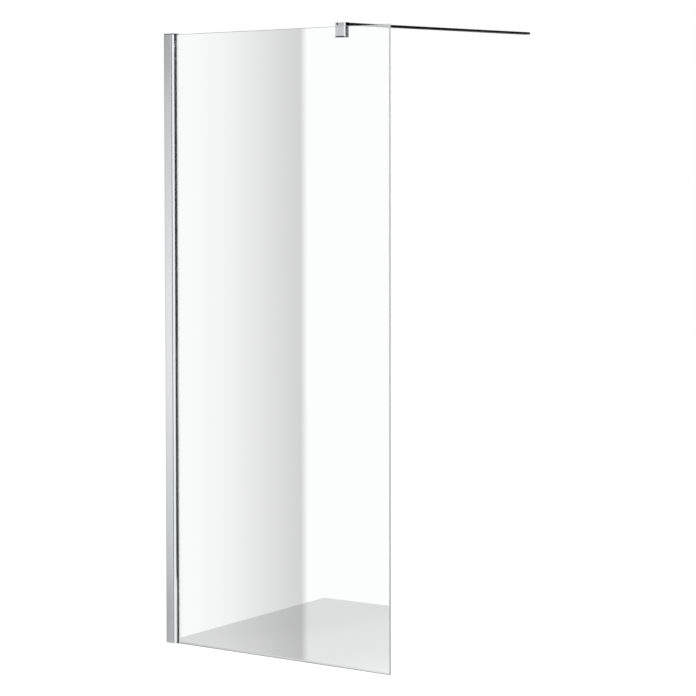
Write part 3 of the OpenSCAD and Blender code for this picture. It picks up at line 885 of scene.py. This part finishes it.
def flagFinish(name, level, bounces):
    # dark after so many reflections, also where the last one passes the pane, but not to metal behind it
    material, tree, out = bareMaterial(name)
    path = addNode(tree, "ShaderNodeLightPath")
    inFront = maths(tree, "LESS_THAN", path.outputs["Transmission Depth"], 0.5)
    either = maths(tree, "MAXIMUM", inFront, path.outputs["Is Transmission Ray"])
    share = maths(tree, "MULTIPLY", bouncedBy(tree, "Glossy", bounces), either)
    glow = addNode(tree, "ShaderNodeEmission", {"Color": (level, level, level, 1)})
    tree.links.new(mixShaders(tree, share, passThrough(tree), glow.outputs[0]), out.inputs["Surface"])
    return material


def floorFinish(name, level, paper):
    # a steady glow for the camera and the glass, and a little paper that takes the shadow
    material, tree, shader = newMaterial(name, (paper, paper, paper), Roughness=0.9)
    path = addNode(tree, "ShaderNodeLightPath")
    direct = maths(tree, "MAXIMUM", path.outputs["Is Camera Ray"], path.outputs["Is Transmission Ray"])
    direct = maths(tree, "MAXIMUM", direct, path.outputs["Is Glossy Ray"])
    smudge = placeGroup(tree, smudgeGroup, Size=0.8, Low=0.97, High=1.0)
    shade = scaledColour(tree, (paper, paper, paper), smudge.outputs["Value"])
    tree.links.new(shade, shader.inputs["Base Color"])
    glow = addNode(tree, "ShaderNodeEmission", {"Color": (level, level, level, 1), "Strength": direct})
    both = addNode(tree, "ShaderNodeAddShader", {0: shader.outputs[0], 1: glow.outputs[0]})
    tree.links.new(both.outputs[0], tree.nodes["Material Output"].inputs["Surface"])
    return material


floorSizes = {"half": 14.0, "level": 0.93, "paper": 0.12}
half = floorSizes["half"]
stagePiece("floor", [(-half, -half, 0), (half, -half, 0), (half, half, 0), (-half, half, 0)],
           floorFinish("paleFloor", floorSizes["level"], floorSizes["paper"]),
           ("camera", "diffuse", "shadow"))

# What the pane shows behind it: a soft grey that fades in from the left, which is painted shade in the glass,
# and a darker one low down
paneShade = {"behind": 30 * mm, "across": (-0.2, 1.3), "up": (-0.4, 2.2), "veil": 0.42,
             "stops": [(0.10, 0.955), (0.26, 0.885), (0.536, 0.655), (0.587, 0.622), (0.619, 0.99)]}
(left, right), (foot, top) = paneShade["across"], paneShade["up"]
stagePiece("paneBackdrop",
           [(x, paneShade["behind"], z) for x, z in ((left, foot), (right, foot), (right, top), (left, top))],
           glowFinish("paneShade", paneShade["stops"], "X", veil=paneShade["veil"]), ("transmission",))
trayShade = {"height": 0.5 * mm, "corners": [(-0.0112, 0.0055), (-0.3789, 1.1243), (-0.0649, 1.1316),
                                              (1.3, 1.1316), (1.3, 0.0055)],
             "stops": [(0.026, 0.49), (0.309, 0.585), (0.612, 0.615), (0.814, 0.68), (0.996, 0.80)]}
stagePiece("trayBackdrop", [(x, y, trayShade["height"]) for x, y in trayShade["corners"]],
           glowFinish("trayShade", trayShade["stops"], "X"), ("transmission",))

# Flags that metal and gloss mirror as black, from the first or the second bounce on
flagLevel = 0.003
flags = {
    "darkFlag": {"centre": (4.93, 4.40), "facing": 226, "width": 1.0, "low": -2.0, "high": 5.0,
                 "bounces": 1, "seenBy": ("glossy", "transmission")},
    "farFlag": {"centre": (4.6, -4.2), "facing": 135, "width": 5.0, "low": -2.0, "high": 5.0,
                "bounces": 2, "seenBy": ("glossy",)},
    "barFlag": {"centre": (4.82, 4.95), "facing": 191.8, "width": 1.4, "low": 2.15, "high": 2.55,
                "bounces": 1, "seenBy": ("glossy", "transmission")},
}
for name, sizes in flags.items():
    standCard(name, sizes, flagFinish(name, flagLevel, sizes["bounces"]), sizes["seenBy"])


# Glowing cards, which only metal and gloss see; their stops are (height, level)

def glowCard(name, sizes, span=1.0, start=0.0, behindPane=False):
    finish = glowFinish(name, sizes["stops"], "Z", span, start, behindPane=behindPane)
    standCard(name, sizes, finish, ("glossy",))


cardSpan = 2.5  # the ramps of the cards beside the object run from the floor to this height

# far behind the flags, a grey that the rear faces of the profile show
rearCard = {"centre": (4.30, 7.25), "facing": 237, "width": 4.2, "low": -3.5, "high": 3.0,
            "stops": [(-3.5, 0.34), (-1.0, 0.52), (0.8, 0.80), (2.0, 0.62), (3.0, 0.50)]}
glowCard("rearCard", rearCard, rearCard["high"] - rearCard["low"], rearCard["low"])

# nearly black, for the underside of the bar
barCard = {"centre": (-1.3, 2.6), "facing": 312.4, "width": 2.4, "low": 1.2, "high": 1.97,
           "stops": [(0.0, 0.07), (1.0, 0.07)]}
glowCard("barCard", barCard)

# each of these stands across the line that the profile's face reflects: distance along it, start and end
# across it, and a share of the level
profileCards = {"azimuth": 222.78, "from": (0.017, -0.014), "low": -0.35, "high": 2.3,
                "stops": [(0.0, 0.48), (0.14, 0.60), (0.42, 0.73), (0.80, 0.875), (1.10, 0.87), (1.44, 0.765),
                          (1.78, 0.63), (1.92, 0.50), (2.05, 0.43)],
                "tint": (0.96, 1.0, 0.99), "tintedBelow": 0.5,
                "cards": {"faceCard": (0.9, -0.27, 0.03, 1.0), "edgeCard": (0.12, -0.017, -0.0098, 0.74)}}


def tintStops(sizes, share):
    # the stops near the floor are faintly green
    tint, top = sizes["tint"], sizes["tintedBelow"]
    return [(at, tuple(c * level * share for c in tint) if at < top else level * share)
            for at, level in sizes["stops"]]


def reflectedCard(name, sizes, distance, start, end, share):
    turn = math.radians(sizes["azimuth"])
    centre = Vector(sizes["from"]) + Vector((math.cos(turn), math.sin(turn))) * distance
    centre += Vector((-math.sin(turn), math.cos(turn))) * (start + end) / 2
    card = {"centre": centre, "facing": sizes["azimuth"] + 180, "width": end - start, "low": sizes["low"],
            "high": sizes["high"], "stops": tintStops(sizes, share)}
    glowCard(name, card, cardSpan)


for name, card in profileCards["cards"].items():
    reflectedCard(name, profileCards, *card)

# pale below and darker above, for the clamp's front
clampCard = {"centre": (0.171, -0.66), "facing": 46, "width": 0.05, "low": 2.005, "high": 2.062,
             "stops": [(2.0, 0.68), (2.043, 0.68), (2.049, 0.50), (2.07, 0.50)]}
glowCard("clampCard", clampCard, cardSpan)

# dark beside the clamp, for the part of its side that is seen through the pane
clampSideCard = {"centre": (0.889, 0.0727), "facing": 226, "width": 0.018, "low": 1.955, "high": 2.02,
                 "stops": [(0.0, 0.003), (1.0, 0.003)]}
glowCard("clampSideCard", clampSideCard)

# grey for the length of bar that is seen through the pane
barPaneCard = {"centre": (1.4965, 0.8766), "facing": 226.6, "width": 0.24, "low": 2.02, "high": 2.10,
               "stops": [(2.0, 0.02), (2.053, 0.02), (2.055, 0.26), (2.1, 0.26)]}
glowCard("barPaneCard", barPaneCard, cardSpan, behindPane=True)

# darkAt and whiteAt are how far a ray of length 1 rises
studioSizes = {"plain": 0.9, "dark": 0.012, "darkAt": -0.55, "whiteAt": -0.17}


def buildWorld(sizes):
    # white for the camera and the glass; metal sees white above and dark below; a plain level for the rest
    world = bpy.data.worlds.new("studio")
    scene.world = world
    world.use_nodes = True
    tree = world.node_tree
    tree.nodes.clear()
    path = addNode(tree, "ShaderNodeLightPath")
    place = addNode(tree, "ShaderNodeTexCoord")
    parts = addNode(tree, "ShaderNodeSeparateXYZ", {0: place.outputs["Generated"]})
    rise = addNode(tree, "ShaderNodeMapRange", {
        "Value": parts.outputs["Z"], "From Min": sizes["darkAt"], "From Max": sizes["whiteAt"],
        "To Min": sizes["dark"], "To Max": 1.0})
    direct = maths(tree, "MAXIMUM", path.outputs["Is Camera Ray"], path.outputs["Is Transmission Ray"])
    shine = addNode(tree, "ShaderNodeMix", {
        0: path.outputs["Is Glossy Ray"], 2: sizes["plain"], 3: rise.outputs["Result"]})
    final = addNode(tree, "ShaderNodeMix", {0: direct, 2: shine.outputs[0], 3: 1.0})
    sky = addNode(tree, "ShaderNodeBackground", {"Strength": final.outputs[0], "Color": (1, 1, 1, 1)})
    out = tree.nodes.new("ShaderNodeOutputWorld")
    tree.links.new(sky.outputs[0], out.inputs["Surface"])


buildWorld(studioSizes)

lampSizes = {"target": (0.5, 0.2, 1.0), "side": 2.4,
             "lamps": {"keyLamp": ((2.6, -3.4, 4.2), 55), "fillLamp": ((-2.2, 3.6, 3.4), 25)}}


def softLamp(name, sizes):
    place, power = sizes["lamps"][name]
    lamp = bpy.data.lights.new(name, "AREA")
    lamp.shape = "RECTANGLE"
    lamp.size = lamp.size_y = sizes["side"]
    lamp.energy = power
    light = bpy.data.objects.new(name, lamp)
    scene.collection.objects.link(light)
    light.location = place
    light.rotation_euler = (Vector(sizes["target"]) - Vector(place)).to_track_quat("-Z", "Y").to_euler()
    light.visible_glossy = False
    light.visible_transmission = False


for name in lampSizes["lamps"]:
    softLamp(name, lampSizes)


# Camera, at the photograph's viewing angle

cameraSizes = {"place": (7.42755, -6.87124, 1.51645), "azimuth": 43.8769, "pitch": -3.0814, "roll": -0.0715,
               "lens": 158.896, "sensor": 36.0}


def placeCamera(sizes):
    lens = bpy.data.cameras.new("camera")
    lens.lens = sizes["lens"]
    lens.sensor_width = sizes["sensor"]
    camera = bpy.data.objects.new("camera", lens)
    scene.collection.objects.link(camera)
    azimuth, pitch, roll = (math.radians(sizes[key]) for key in ("azimuth", "pitch", "roll"))
    turn = Matrix.Rotation(azimuth, 4, "Z") @ Matrix.Rotation(math.pi / 2 + pitch, 4, "X")
    camera.matrix_world = Matrix.Translation(sizes["place"]) @ turn @ Matrix.Rotation(roll, 4, "Z")
    scene.camera = camera


placeCamera(cameraSizes)
scene.view_settings.view_transform = "Standard"
print("stage and camera placed")
